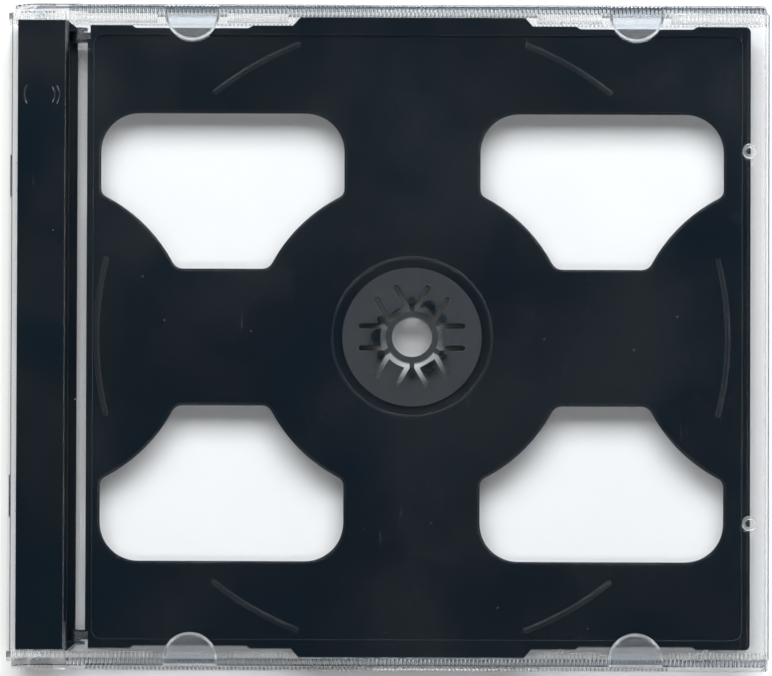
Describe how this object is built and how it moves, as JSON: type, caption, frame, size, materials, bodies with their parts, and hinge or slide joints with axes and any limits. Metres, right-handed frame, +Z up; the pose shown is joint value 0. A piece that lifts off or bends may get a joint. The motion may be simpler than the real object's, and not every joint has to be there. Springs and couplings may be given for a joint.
{
  "type": "cd jewel case",
  "caption": "Flat clear plastic case with a hinged lid, a black strip beside the spine and a black swing tray with a two-sided hub for discs.",
  "frame": {"origin": "middle of the closed case's footprint, on the underside of the base", "axes": "+X from the spine to the opening edge, +Y along the spine, +Z up through the lid"},
  "size_m": [0.142, 0.124, 0.0104],
  "materials": {
    "clear_plastic": "clear polished polystyrene",
    "black_plastic": "black polystyrene, gloss with a satin hub"
  },
  "bodies": {
    "base": {"rear_base": "clear_plastic", "hinge_strip": "black_plastic"},
    "lid": {"front_lid": "clear_plastic"},
    "tray": {"swing_tray": "black_plastic"}
  },
  "joints": [
    {"name": "lid_hinge", "type": "hinge", "parent": "base", "child": "lid", "pos_m": [-0.0651, 0, 0.0052], "axis": [0, -1, 0], "range_deg": [0, 180]},
    {"name": "tray_hinge", "type": "hinge", "parent": "base", "child": "tray", "pos_m": [-0.058, 0, 0.0052], "axis": [0, -1, 0], "range_deg": [0, 90]}
  ],
  "couplings": [
    {"joint": "tray_hinge", "follows": "lid_hinge", "ratio": 0.5}
  ]
}
